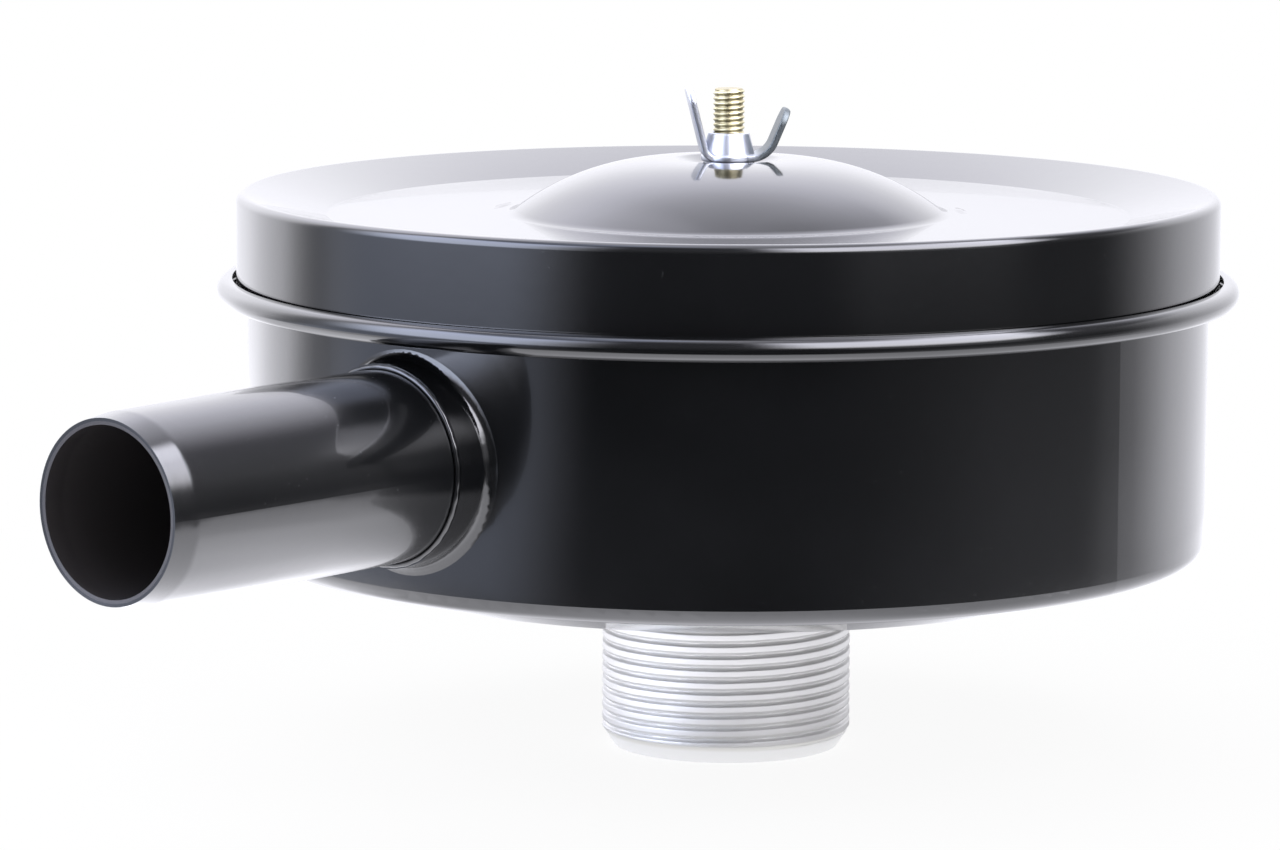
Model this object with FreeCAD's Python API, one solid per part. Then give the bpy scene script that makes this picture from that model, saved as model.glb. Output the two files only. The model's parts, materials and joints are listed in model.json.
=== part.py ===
# Intake air filter of a piston compressor: a round pressed-steel housing with a side inlet
# tube, a threaded outlet nipple below, a pleated ring element inside and a lid held down by
# a wing nut on a central tie stud.
# Millimetres. The outlet axis is Z, the pan's flat underside is z = 0, the tube runs to -Y.
import FreeCAD, Part
import math
import os

V = FreeCAD.Vector
ORIGIN = V(0, 0, 0)
X_AXIS = V(1, 0, 0)
Z_AXIS = V(0, 0, 1)

# Sheet metal and clearances
pan_sheet = 0.9
lid_sheet = 0.8
cap_sheet = 0.6
locator_sheet = 0.8
slip_gap = 0.1
seat_gap = 0.02
locator_gap = 1.0
touch_tolerance = 0.01

# Pan
pan_radius = 91.75
pan_flat_radius = 71.0
pan_cone_angle = 14.0
pan_cone_bend = 3.0
pan_wall_bend = 3.1

# Inlet tube and the neck that is drawn out of the pan wall around it
tube_radius = 17.5
tube_sheet = 1.2
tube_insert_step = 0.4
tube_axis_z = 30.85
tube_reach_in = 7.75
tube_straight_length = 28.45
tube_taper_length = 36.0
tube_nose_length = 5.0
tube_taper = 0.6
tube_nose = 0.7
tube_nose_bend = 8.0
tube_taper_radius = 90.0
neck_proud = 5.8
neck_bend = 2.0
insert_shoulder = 0.6

# Outlet nipple with its inner flange, and the gasket under the flange
nipple_radius = 23.9
nipple_length = 34.0
nipple_relief = 0.6
nipple_bore_radius = 19.5
nipple_chamfer_height = 3.4
nipple_chamfer_depth = 2.2
nipple_mouth_bevel = 0.8
flange_radius = 38.0
flange_thickness = 3.0
nipple_gasket_thickness = 1.0

# Rivets through flange and bridge feet
rivet_count = 3
rivet_circle_radius = 31.0
rivet_radius = 2.0
rivet_head_radius = 3.6
rivet_crown_radius = 2.0
rivet_head_height = 1.3

# Bridge that carries the stud over the outlet bore
bridge_sheet = 2.0
bridge_rise = 13.0
bridge_hub_radius = 9.0
bridge_leg_width = 9.0
bridge_foot_radius = 35.5
bridge_foot_inner = 26.0
bridge_bend = 3.0

# Tie stud and its hex nuts
stud_radius = 3.0
stud_end_bevel = 0.5
stud_above_seat = 14.55
stud_below_nut = 2.0
hex_flats = 10.0
hex_height = 5.0
stud_hole_gap = 0.3

# Filter element
media_inner_radius = 47.2
media_outer_radius = 73.4
media_thickness = 0.9
pleat_count = 60
channel_depth = 7.0
channel_bend = 1.2
seal_height = 3.2
seal_inset = 5.15
seal_bevel = 0.5
core_window_columns = 12
core_window_rows = 4
core_window_width = 14.0
core_window_height = 9.0
core_window_pitch = 13.5
locator_height = 8.0
locator_foot = 5.0
locator_bend = 1.5

# Lid
lid_skirt_gap = 1.25
annulus_z = 68.75
lid_cone_start = 76.5
lid_cone_angle = 15.1
lid_cone_bend = 1.5
rim_bend = 1.6
bead_radius = 2.25
bead_centre_z = 54.65
bead_end_angle = 455.0
dome_height = 10.45
dome_crown_radius = 11.0
dome_base_bend = 4.0
dome_shoulder_bend = 50.0
dish_depth = 1.2
dish_flat_radius = 6.2
dish_inset = 0.9
dish_bend = 4.0
weld_mark_gap = 1.9
weld_mark_length = 12.0
weld_mark_width = 2.2
weld_mark_height = 0.25
weld_mark_angles = (46.0, 205.0)
rim_gasket_height = 2.4
rim_gasket_width = 4.0

# Washers and wing nut
seal_washer_radius = 4.9
seal_washer_thickness = 0.35
nut_washer_radius = 4.7
nut_washer_thickness = 0.35
nut_bore_gap = 0.08
nut_sheet = 1.35
nut_base_radius = 5.3
nut_collar_foot = 4.9
nut_collar_top = 3.9
nut_collar_height = 5.5
wing_width = 8.5
wing_corner = 3.2
wing_span_angle = 44.0
right_wing_root = 4.8
right_wing_angle = 67.0
right_wing_length = 10.6
right_wing_bend = 4.25
left_wing_root = 3.8
left_wing_angle = 76.0
left_wing_length = 14.4
left_wing_bend = 1.5

# Levels and radii that follow from the sizes above
pan_floor_z = pan_sheet
flange_z = pan_floor_z + nipple_gasket_thickness
flange_top_z = flange_z + flange_thickness
bridge_top_z = flange_top_z + bridge_rise + bridge_sheet
bridge_under_z = bridge_top_z - bridge_sheet
element_z = pan_floor_z + seal_height
lid_under_z = annulus_z - lid_sheet
element_top_z = lid_under_z - seal_height
media_low_z = element_z + channel_bend
media_high_z = element_top_z - channel_bend
dome_top_z = annulus_z + dome_height
dome_seat_z = dome_top_z - dish_depth
washer_z = dome_seat_z + seal_washer_thickness
nut_z = washer_z + nut_washer_thickness
neck_end = pan_radius + neck_proud
neck_radius = tube_radius + slip_gap + pan_sheet
tube_inner_end = pan_radius - tube_reach_in
tube_straight_end = neck_end + tube_straight_length
tube_taper_end = tube_straight_end + tube_taper_length
tube_mouth = tube_taper_end + tube_nose_length
channel_inner_radius = media_inner_radius - 2 * cap_sheet - 2 * slip_gap
channel_outer_radius = media_outer_radius + cap_sheet + slip_gap
core_radius = media_inner_radius - slip_gap
locator_radius = channel_inner_radius - locator_gap
seal_inner_radius = channel_inner_radius + seal_inset
seal_outer_radius = channel_outer_radius - seal_inset
skirt_inner_radius = pan_radius + lid_skirt_gap
lid_radius = skirt_inner_radius + lid_sheet
cone_slope = math.tan(math.radians(lid_cone_angle))
dome_bends = dome_base_bend + dome_shoulder_bend
dome_lean = math.acos(1 - dome_height / dome_bends)
dome_base_radius = dome_crown_radius + dome_bends * math.sin(dome_lean)
weld_mark_radius = dome_base_radius + weld_mark_gap


def at(r, z):
    """Point of a profile in the XZ plane: radius r, height z."""
    return V(r, 0, z)


def line(start, end):
    return Part.LineSegment(start, end).toShape()


def arc(r, z, radius, start_angle, end_angle):
    """Arc of a profile about the centre (r, z), angles in degrees from +X towards +Z."""
    def on(angle):
        turn = math.radians(angle)
        return at(r + radius * math.cos(turn), z + radius * math.sin(turn))
    middle = (start_angle + end_angle) / 2
    return Part.Arc(on(start_angle), on(middle), on(end_angle)).toShape()


def bent(corners):
    """Edges through (r, z, bend radius) corners: straight runs joined by tangent arcs."""
    edges = []
    start = at(*corners[0][:2])
    for here, after in zip(corners[1:-1], corners[2:]):
        corner = at(*here[:2])
        towards = (start - corner).normalize()
        away = (at(*after[:2]) - corner).normalize()
        half = towards.getAngle(away) / 2
        reach = here[2] / math.tan(half)
        inward = (towards + away).normalize()
        first = corner + towards * reach
        last = corner + away * reach
        crown = corner + inward * (here[2] / math.sin(half) - here[2])
        edges.append(line(start, first))
        edges.append(Part.Arc(first, crown, last).toShape())
        start = last
    edges.append(line(start, at(*corners[-1][:2])))
    return edges


def sheet(edges, thickness):
    """Section of a sheet on a profile path, to the path's left where thickness is positive."""
    return Part.Wire(edges).makeOffset2D(thickness, 0, True, True)


def spun(face):
    """Solid of a half profile turned once about the Z axis."""
    return face.revolve(ORIGIN, Z_AXIS, 360)


def polygon(points):
    """Face inside the closed outline through (r, z) points of the XZ plane."""
    corners = [at(*point) for point in points]
    return Part.Face(Part.makePolygon(corners + corners[:1]))


def ring(inner, outer, low, high):
    return spun(polygon([(inner, low), (outer, low), (outer, high), (inner, high)]))


def cylinder(radius, low, high):
    return Part.makeCylinder(radius, high - low, at(0, low))


def around(shape, count):
    """Copies of a shape turned evenly about the Z axis."""
    copies = []
    for index in range(count):
        copy = shape.copy()
        copy.rotate(ORIGIN, Z_AXIS, 360.0 * index / count)
        copies.append(copy)
    return copies


def along_tube(shape):
    """Carries a shape built up the Z axis onto the inlet tube's axis, outward to -Y."""
    turned = shape.copy()
    turned.rotate(ORIGIN, X_AXIS, 90)
    turned.translate(V(0, 0, tube_axis_z))
    return turned


# Pan: two nested bodies, each a drum with its neck, and the sheet is what lies between them
def pan_path():
    """Outer surface of the drum, from the axis along the underside and up the wall."""
    rise = (pan_radius - pan_flat_radius) * math.tan(math.radians(pan_cone_angle))
    corners = [
        (0, 0),
        (pan_flat_radius, 0, pan_cone_bend),
        (pan_radius, rise, pan_wall_bend),
        (pan_radius, pan_rim_z()),
    ]
    return Part.Wire(bent(corners))


def drum_body(path, radius, reach, bend):
    """Solid drum inside a path, joined to a round neck with a fillet at its foot."""
    ends = [vertex.Point for vertex in path.Vertexes]
    foot = min(ends, key=lambda point: point.x)
    rim = max(ends, key=lambda point: point.z)
    crown = at(0, rim.z)
    closed = Part.Wire(path.Edges + [line(rim, crown), line(crown, foot)])
    drum = spun(Part.Face(closed))
    neck = along_tube(cylinder(radius, 0, reach))
    body = drum.fuse(neck)
    foot_edges = [edge for edge in body.Edges if is_neck_foot(edge, rim.x, radius)]
    return body.makeFillet(bend, foot_edges)


def is_neck_foot(edge, wall, radius):
    """True for an edge whose every sample lies on both the drum wall and the neck."""
    for point in edge.discretize(7):
        on_wall = abs(math.hypot(point.x, point.y) - wall) < touch_tolerance
        on_neck = abs(math.hypot(point.x, point.z - tube_axis_z) - radius) < touch_tolerance
        if not (on_wall and on_neck):
            return False
    return True


def housing_pan():
    outer_path = pan_path()
    inner_path = outer_path.makeOffset2D(pan_sheet, 0, False, True)
    outer = drum_body(outer_path, neck_radius, neck_end, neck_bend)
    bore_radius = neck_radius - pan_sheet
    inner = drum_body(inner_path, bore_radius, neck_end + pan_sheet, neck_bend + pan_sheet)
    holes = [cylinder(nipple_radius + slip_gap, -pan_sheet, 2 * pan_sheet)]
    holes += around(rivet_bore(-pan_sheet, 2 * pan_sheet), rivet_count)
    return outer.cut(inner).cut(holes)


def inlet_tube():
    """Tube with its end drawn in to pass the neck, a long taper and a nosed mouth."""
    insert_radius = tube_radius - tube_insert_step
    taper_radius = tube_radius - tube_taper
    corners = [
        (insert_radius, tube_inner_end),
        (insert_radius, neck_end + slip_gap, insert_shoulder),
        (tube_radius, neck_end + slip_gap + insert_shoulder, insert_shoulder),
        (tube_radius, tube_straight_end, tube_taper_radius),
        (taper_radius, tube_taper_end, tube_nose_bend),
        (taper_radius - tube_nose, tube_mouth),
    ]
    return along_tube(spun(sheet(bent(corners), tube_sheet)))


# Outlet: nipple, gasket, bridge and rivets
def outlet_nipple():
    end = -nipple_length
    outline = [
        (nipple_bore_radius, end),
        (nipple_radius - nipple_chamfer_depth, end),
        (nipple_radius, end + nipple_chamfer_height),
        (nipple_radius, 0),
        (nipple_radius - nipple_relief, 0),
        (nipple_radius - nipple_relief, flange_z),
        (flange_radius, flange_z),
        (flange_radius, flange_top_z),
        (nipple_bore_radius + nipple_mouth_bevel, flange_top_z),
        (nipple_bore_radius, flange_top_z - nipple_mouth_bevel),
    ]
    nipple = spun(polygon(outline))
    return nipple.cut(around(rivet_bore(flange_z, flange_top_z), rivet_count))


def nipple_gasket():
    gasket = ring(nipple_radius + slip_gap, flange_radius, pan_floor_z, flange_z)
    return gasket.cut(around(rivet_bore(pan_floor_z, flange_z), rivet_count))


def rivet_bore(low, high):
    bore = cylinder(rivet_radius + slip_gap, low, high)
    bore.translate(at(rivet_circle_radius, 0))
    return bore


def bridge_leg():
    """One bent leg from the hub down to its foot, as a strip of sheet."""
    corners = [
        (0, bridge_top_z),
        (bridge_hub_radius + bridge_bend, bridge_top_z, bridge_bend),
        (bridge_foot_inner, flange_top_z + bridge_sheet, bridge_bend),
        (bridge_foot_radius, flange_top_z + bridge_sheet),
    ]
    section = sheet(bent(corners), -bridge_sheet)
    leg = section.extrude(V(0, bridge_leg_width, 0))
    leg.translate(V(0, -bridge_leg_width / 2, 0))
    return leg


def stud_bridge():
    hub = cylinder(bridge_hub_radius, bridge_under_z, bridge_top_z)
    bridge = hub.fuse(around(bridge_leg(), rivet_count))
    bores = around(rivet_bore(flange_top_z, flange_top_z + bridge_sheet), rivet_count)
    bores.append(cylinder(stud_radius + slip_gap, bridge_under_z, bridge_top_z))
    return bridge.cut(bores).removeSplitter()


def flange_rivets():
    """Round-headed rivets through pan floor, gasket, flange and bridge feet."""
    grip_top = flange_top_z + bridge_sheet
    outline = [
        (0, -rivet_head_height),
        (rivet_crown_radius, -rivet_head_height),
        (rivet_head_radius, 0),
        (rivet_radius, 0),
        (rivet_radius, grip_top),
        (rivet_head_radius, grip_top),
        (rivet_crown_radius, grip_top + rivet_head_height),
        (0, grip_top + rivet_head_height),
    ]
    rivet = spun(polygon(outline))
    rivet.translate(at(rivet_circle_radius, 0))
    return Part.makeCompound(around(rivet, rivet_count))


# Tie stud and the two hex nuts on the bridge
def tie_stud():
    low = bridge_under_z - hex_height - stud_below_nut
    high = dome_seat_z + stud_above_seat
    stud = cylinder(stud_radius, low, high)
    ends = [edge for edge in stud.Edges if edge.Length > math.pi * stud_radius and edge.Closed]
    return stud.makeChamfer(stud_end_bevel, ends)


def hex_nut(low):
    """Hex prism with a stud hole, its upper and lower corners turned off by a cone."""
    corner_radius = hex_flats / math.sqrt(3)
    corners = []
    for index in range(6):
        turn = math.radians(60 * index)
        corners.append(V(corner_radius * math.cos(turn), corner_radius * math.sin(turn), low))
    prism = Part.Face(Part.makePolygon(corners + corners[:1])).extrude(V(0, 0, hex_height))
    bevel = corner_radius - hex_flats / 2
    outline = [
        (0, low),
        (hex_flats / 2, low),
        (corner_radius, low + bevel / 2),
        (corner_radius, low + hex_height - bevel / 2),
        (hex_flats / 2, low + hex_height),
        (0, low + hex_height),
    ]
    nut = prism.common(spun(polygon(outline)))
    return nut.cut(cylinder(stud_radius + seat_gap, low, low + hex_height))


# Filter element: pleated ring, core tube, two channel caps and two seals
def filter_media():
    """Paper folded into even pleats: a zigzag line given its thickness and its height."""
    corners = []
    for index in range(pleat_count):
        for radius, share in ((media_inner_radius, 0.0), (media_outer_radius, 0.5)):
            turn = 2 * math.pi * (index + share) / pleat_count
            corners.append(V(radius * math.cos(turn), radius * math.sin(turn), 0))
    fold_line = Part.makePolygon(corners + corners[:1])
    half = media_thickness / 2
    outer = Part.Face(fold_line.makeOffset2D(half, 2))
    inner = Part.Face(fold_line.makeOffset2D(-half, 2))
    height = media_high_z - media_low_z
    media = outer.cut(inner).extrude(V(0, 0, height))
    folded = media.common(ring(media_inner_radius, media_outer_radius, 0, height))
    folded.translate(at(0, media_low_z))
    return folded


def element_core():
    tube = ring(core_radius - cap_sheet, core_radius, media_low_z, media_high_z)
    window = Part.makeBox(
        4 * cap_sheet, core_window_width, core_window_height,
        V(core_radius - 2.5 * cap_sheet, -core_window_width / 2, -core_window_height / 2),
    )
    windows = []
    for row in range(core_window_rows):
        level = (media_low_z + media_high_z) / 2
        level += (row - (core_window_rows - 1) / 2) * core_window_pitch
        placed = window.copy()
        placed.translate(at(0, level))
        windows += around(placed, core_window_columns)
    return tube.cut(windows)


def channel_cap(base_z, upward):
    """Sheet channel ring that holds one end of the media; upward is 1 below, -1 above."""
    lip_z = base_z + upward * channel_depth
    corners = [
        (channel_inner_radius, lip_z),
        (channel_inner_radius, base_z, channel_bend),
        (channel_outer_radius, base_z, channel_bend),
        (channel_outer_radius, lip_z),
    ]
    return spun(sheet(bent(corners), upward * cap_sheet))


def element_seal(low):
    inner = seal_inner_radius
    outer = seal_outer_radius
    high = low + seal_height
    outline = [
        (inner + seal_bevel, low),
        (outer - seal_bevel, low),
        (outer, low + seal_bevel),
        (outer, high - seal_bevel),
        (outer - seal_bevel, high),
        (inner + seal_bevel, high),
        (inner, high - seal_bevel),
        (inner, low + seal_bevel),
    ]
    return spun(polygon(outline))


def locator(seat_z, foot_radius, collar_radius, collar_end_z):
    """Pressed angle ring: a flat foot on its seat and a collar that centres the element."""
    corners = [
        (foot_radius, seat_z),
        (collar_radius, seat_z, locator_bend),
        (collar_radius, collar_end_z),
    ]
    return spun(sheet(bent(corners), locator_sheet))


def element_locator():
    foot = locator_radius - locator_foot
    return locator(pan_floor_z, foot, locator_radius, pan_floor_z + locator_height)


def lid_locator():
    collar = locator_radius - locator_sheet
    return locator(lid_under_z, collar + locator_foot, collar, lid_under_z - locator_height)


# Lid and its gasket
def lid_path():
    """Top surface of the lid: stud hole, dished seat, dome, annulus, cone, rim and bead."""
    lean = math.degrees(dome_lean)
    shoulder_z = dome_top_z - dome_shoulder_bend
    cone_rise = (lid_radius - lid_cone_start) * cone_slope
    edges = bent([
        (stud_radius + stud_hole_gap, dome_seat_z),
        (dish_flat_radius, dome_seat_z, dish_bend),
        (dome_crown_radius - dish_inset, dome_top_z, dish_bend),
        (dome_crown_radius, dome_top_z),
    ])
    edges.append(arc(dome_crown_radius, shoulder_z, dome_shoulder_bend, 90, 90 - lean))
    foot_z = annulus_z + dome_base_bend
    edges.append(arc(dome_base_radius, foot_z, dome_base_bend, 270 - lean, 270))
    edges += bent([
        (dome_base_radius, annulus_z),
        (lid_cone_start, annulus_z, lid_cone_bend),
        (lid_radius, annulus_z + cone_rise, rim_bend),
        (lid_radius, bead_centre_z),
    ])
    curl = bead_radius - lid_sheet
    edges.append(arc(lid_radius + curl, bead_centre_z, curl, 180, 270))
    edges.append(arc(lid_radius + curl, bead_centre_z, curl, 270, bead_end_angle))
    return edges


def weld_mark():
    """Low rounded mark beside the dome's foot, longer round the lid than along its radius."""
    half = weld_mark_length / 2
    height = weld_mark_height
    back = Part.Arc(at(-half, 0), at(0, height), at(half, 0)).toShape()
    section = Part.Wire([back, line(at(half, 0), at(-half, 0))])
    mark = Part.Face(section).revolve(ORIGIN, X_AXIS, 360)
    stretch = FreeCAD.Matrix()
    stretch.scale(1, weld_mark_width / (2 * height), 1)
    mark = mark.transformGeometry(stretch)
    mark.rotate(ORIGIN, Z_AXIS, 90)
    mark.translate(at(weld_mark_radius, annulus_z))
    return mark


def lid():
    marks = [weld_mark(), weld_mark()]
    for mark, angle in zip(marks, weld_mark_angles):
        mark.rotate(ORIGIN, Z_AXIS, angle)
    middle_z = lid_under_z + lid_sheet / 2
    below = cylinder(weld_mark_radius + weld_mark_length, middle_z - lid_sheet, middle_z)
    marks = [mark.cut(below) for mark in marks]
    return spun(sheet(lid_path(), -lid_sheet)).fuse(marks)


def lid_under(radius):
    """Height of the lid's lower surface on its cone."""
    top = annulus_z + (radius - lid_cone_start) * cone_slope
    return top - lid_sheet / math.cos(math.radians(lid_cone_angle))


def pan_rim_z():
    return lid_under(pan_radius) - rim_gasket_height


def lid_rim_gasket():
    outer = skirt_inner_radius - slip_gap
    inner = outer - rim_gasket_width
    bend_radius = lid_radius - rim_bend
    bend_z = lid_under(bend_radius) - (rim_bend - lid_sheet) / math.cos(math.radians(lid_cone_angle))
    knee = bend_radius - rim_bend / 2
    low = pan_rim_z()
    outline = [
        (inner, low),
        (outer, low),
        (outer, bend_z),
        (knee, lid_under(knee) - seat_gap),
        (inner, lid_under(inner) - seat_gap),
    ]
    return spun(polygon(outline))


# Washers and wing nut
def wing(root, lean, length, bend):
    """Sheet wing that leaves the nut's base, bends up and ends in a rounded blade."""
    slope = math.radians(lean)
    foot = root + bend * math.tan(slope / 2)
    corners = [
        (0, nut_z),
        (foot, nut_z, bend + nut_sheet),
        (foot + length * math.cos(slope), nut_z + length * math.sin(slope)),
    ]
    blade = sheet(bent(corners), nut_sheet).extrude(V(0, wing_width, 0))
    blade.translate(V(0, -wing_width / 2, 0))
    corner_edges = []
    for edge in blade.Edges:
        across_sheet = edge.Length < nut_sheet + touch_tolerance
        if across_sheet and edge.CenterOfMass.z > nut_z + nut_sheet:
            corner_edges.append(edge)
    return blade.makeFillet(wing_corner, corner_edges)


def wing_nut():
    """Pressed nut: round base with a drawn, tapered collar and a wing on each side."""
    collar_top_z = nut_z + nut_collar_height
    outline = [
        (0, nut_z),
        (nut_base_radius, nut_z),
        (nut_base_radius, nut_z + nut_sheet),
        (nut_collar_foot, nut_z + nut_sheet),
        (nut_collar_top, collar_top_z),
        (0, collar_top_z),
    ]
    right = wing(right_wing_root, right_wing_angle, right_wing_length, right_wing_bend)
    left = wing(left_wing_root, left_wing_angle, left_wing_length, left_wing_bend)
    left.rotate(ORIGIN, Z_AXIS, 180)
    nut = spun(polygon(outline)).fuse([right, left])
    nut = nut.cut(cylinder(stud_radius + nut_bore_gap, nut_z, collar_top_z))
    nut.rotate(ORIGIN, Z_AXIS, wing_span_angle)
    return nut


def flat_washer(radius, low, thickness):
    return ring(stud_radius + stud_hole_gap, radius, low, low + thickness)


def make_parts():
    return {
        "housing_pan": housing_pan(),
        "inlet_tube": inlet_tube(),
        "outlet_nipple": outlet_nipple(),
        "nipple_gasket": nipple_gasket(),
        "stud_bridge": stud_bridge(),
        "flange_rivets": flange_rivets(),
        "bridge_weld_nut": hex_nut(bridge_under_z - hex_height),
        "stud_lock_nut": hex_nut(bridge_top_z),
        "tie_stud": tie_stud(),
        "element_locator": element_locator(),
        "element_lower_seal": element_seal(pan_floor_z),
        "element_bottom_cap": channel_cap(element_z, 1),
        "filter_media": filter_media(),
        "element_core": element_core(),
        "element_top_cap": channel_cap(element_top_z, -1),
        "element_upper_seal": element_seal(element_top_z),
        "lid": lid(),
        "lid_locator": lid_locator(),
        "lid_rim_gasket": lid_rim_gasket(),
        "stud_seal_washer": flat_washer(seal_washer_radius, dome_seat_z, seal_washer_thickness),
        "wing_nut_washer": flat_washer(nut_washer_radius, washer_z, nut_washer_thickness),
        "wing_nut": wing_nut(),
    }


os.makedirs("parts", exist_ok=True)
for name, shape in make_parts().items():
    shape.exportStep("parts/" + name + ".step")
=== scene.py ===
"""Looks of a compressor's intake air filter: black enamelled sheet housing and lid, a turned
nipple and a tie stud with cut threads, a pressed wing nut, a pleated paper element, and the
small studio they are seen in. Metres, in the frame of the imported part: the outlet axis is Z,
the inlet tube runs to -Y, and the pan's flat underside is z = 0."""

import json
import math

import bmesh
import bpy
import numpy as np
from mathutils import Matrix, Vector


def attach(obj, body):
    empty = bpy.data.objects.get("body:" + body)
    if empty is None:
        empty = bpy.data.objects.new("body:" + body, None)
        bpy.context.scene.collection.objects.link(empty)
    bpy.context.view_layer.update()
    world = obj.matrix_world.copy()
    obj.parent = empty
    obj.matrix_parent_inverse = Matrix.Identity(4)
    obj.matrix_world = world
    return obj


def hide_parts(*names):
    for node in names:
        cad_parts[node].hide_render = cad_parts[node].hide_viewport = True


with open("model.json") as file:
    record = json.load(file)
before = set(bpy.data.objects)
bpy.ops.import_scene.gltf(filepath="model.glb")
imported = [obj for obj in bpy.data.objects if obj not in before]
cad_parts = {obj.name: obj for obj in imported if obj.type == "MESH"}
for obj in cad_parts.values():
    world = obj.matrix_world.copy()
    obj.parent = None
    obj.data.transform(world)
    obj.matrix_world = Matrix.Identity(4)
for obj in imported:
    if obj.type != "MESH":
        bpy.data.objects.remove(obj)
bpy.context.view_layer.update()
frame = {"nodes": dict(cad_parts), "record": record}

MM = 0.001
TURN = 2 * math.pi
COINCIDENT = 1e-7
TINY = 1e-12

# Nipple: pipe thread 1-1/2 and the turned blank it is cut in. The chamfer is its height and
# depth, the flange its radius, low and high side, and the chamfer's painted highlight, a
# brighter colour, runs out between two heights over the nipple's end. The edges' radii go from
# the bore's mouth up the bore, round the flange and down to the pan.
NIPPLE_RADIUS = 23.9 * MM
NIPPLE_END = -34.0 * MM
NIPPLE_BORE = 19.5 * MM
NIPPLE_RELIEF = 23.3 * MM
NIPPLE_CHAMFER = (3.4 * MM, 2.2 * MM)
NIPPLE_PAINTED_HIGHLIGHT = (2.2 * MM, 2.9 * MM)
NIPPLE_EDGES = (0.35 * MM, 0.8 * MM, 0.4 * MM, 0.3 * MM, 0.15 * MM, 0.1 * MM)
FLANGE = (38.0 * MM, 1.9 * MM, 4.9 * MM)

# Threads: flats are the shares of the half pitch that crest and root take, samples are the
# steps to a pitch, and ease is how far the flanks lean towards a smooth step
FLANK_EASE = 0.45
PIPE_TOP = -0.4 * MM
PIPE_PITCH = 2.309 * MM
PIPE_DEPTH = 0.55 * MM
PIPE_FLATS = (0.46, 0.05)
PIPE_RUN_OUT = 0.9 * MM
PIPE_SAMPLES = 14
STUD_PITCH = 1.0 * MM
STUD_DEPTH = 0.33 * MM
STUD_FLATS = (0.14, 0.2)
STUD_RUN_OUT = 1.5 * MM
STUD_SAMPLES = 10

# Tie stud: M6 thread at both ends
STUD_RADIUS = 3.0 * MM
STUD_LOW = 10.9 * MM
STUD_HIGH = 92.55 * MM
STUD_BEVEL = 0.5 * MM
STUD_THREADS = ((STUD_LOW, 27.0 * MM), (68.55 * MM, STUD_HIGH))

# Wing nut, pressed from sheet. The collar is its radius at foot and top and its height, the
# step lies between base and collar, and the edges' radii go from the bore's low end round the
# base and up to the bore's top. A wing is its root, lean, length and inner bend, and its tip
# keeps a share of the sheet. The right wing's blade is painted dark, a painted shade, and made
# duller between two distances off the axis.
NUT_LOW = 78.7 * MM
NUT_SHEET = 1.35 * MM
NUT_BORE = 3.08 * MM
NUT_BASE = 5.3 * MM
NUT_COLLAR = (4.9 * MM, 3.9 * MM, 5.5 * MM)
NUT_STEP = 0.05 * MM
NUT_EDGES = (0.25 * MM, 0.4 * MM, 0.5 * MM, 0.1 * MM, 0.45 * MM, 0.2 * MM)
NUT_SHADED_BLADE = (3.6 * MM, 6.4 * MM)
WING_HALF_WIDTH = 4.25 * MM
WING_CORNER = 3.2 * MM
WING_EDGE = 0.45 * MM
WING_TIP = 0.25
WING_POWER = 8
WING_START = 3.3 * MM
WING_SPAN = math.radians(44.0)
RIGHT_WING = (4.8 * MM, math.radians(67.0), 10.6 * MM, 4.25 * MM)
LEFT_WING = (3.8 * MM, math.radians(76.0), 14.4 * MM, 1.5 * MM)

# Rivets through the flange: a head is its radius and height
RIVET_COUNT = 3
RIVET_CIRCLE = 31.0 * MM
RIVET_RADIUS = 2.0 * MM
RIVET_HEAD = (3.6 * MM, 1.3 * MM)
RIVET_GRIP = (0.0, 6.9 * MM)

# Filter element: sharpness is near 1 for sharp folds, sway is an angle, and a wave of the
# potting is its count, size and start
PLEATS = 60
PLEAT_RADII = (47.2 * MM, 73.4 * MM)
PLEAT_LEVELS = (5.3 * MM, 63.55 * MM)
PLEAT_SAMPLES = 26
PLEAT_SHARPNESS = 0.992
PLEAT_SWAY = 0.0048
PAPER = 0.9 * MM
POTTING_RADII = (46.5 * MM, 73.4 * MM)
POTTING_DEPTH = 2.6 * MM
POTTING_FLOORS = (4.72 * MM, 64.13 * MM)
POTTING_RIM = 2.0 * MM
POTTING_CREEP = 0.5 * MM
POTTING_WAVES = ((PLEATS, 0.12, 0.0), (7, 0.08, 1.0), (13, 0.05, 0.0))

# Lid: one sheet from the stud hole over dome, annulus, cone and rim down to the curled bead.
# The dish is its depth, flat radius, inset from the crown and bend, and a weld mark its gap to
# the dome, half length, half width and height, seated by a lift over the sheet and a sink.
LID_SHEET = 0.8 * MM
LID_HOLE = 3.3 * MM
LID_ANNULUS = 68.75 * MM
DOME_HEIGHT = 10.45 * MM
DOME_CROWN = 11.0 * MM
DOME_BENDS = (50.0 * MM, 4.0 * MM)
DOME_LEAN = math.acos(1 - DOME_HEIGHT / sum(DOME_BENDS))
DOME_BASE = DOME_CROWN + sum(DOME_BENDS) * math.sin(DOME_LEAN)
DISH = (1.2 * MM, 6.2 * MM, 0.9 * MM, 4.0 * MM)
CONE_START = 76.5 * MM
CONE_SLOPE = math.tan(math.radians(15.1))
CONE_BEND = 1.5 * MM
LID_RADIUS = 93.8 * MM
RIM_BEND = 1.6 * MM
BEAD_CENTRE = 54.65 * MM
BEAD_RADIUS = 2.25 * MM
BEAD_END = math.radians(471.0)
WELD_MARK = (1.9 * MM, 6.0 * MM, 1.1 * MM, 0.24 * MM)
WELD_MARK_SEAT = (0.004 * MM, 0.05 * MM)
WELD_MARK_ANGLES = (math.radians(46.0), math.radians(205.0))

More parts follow.
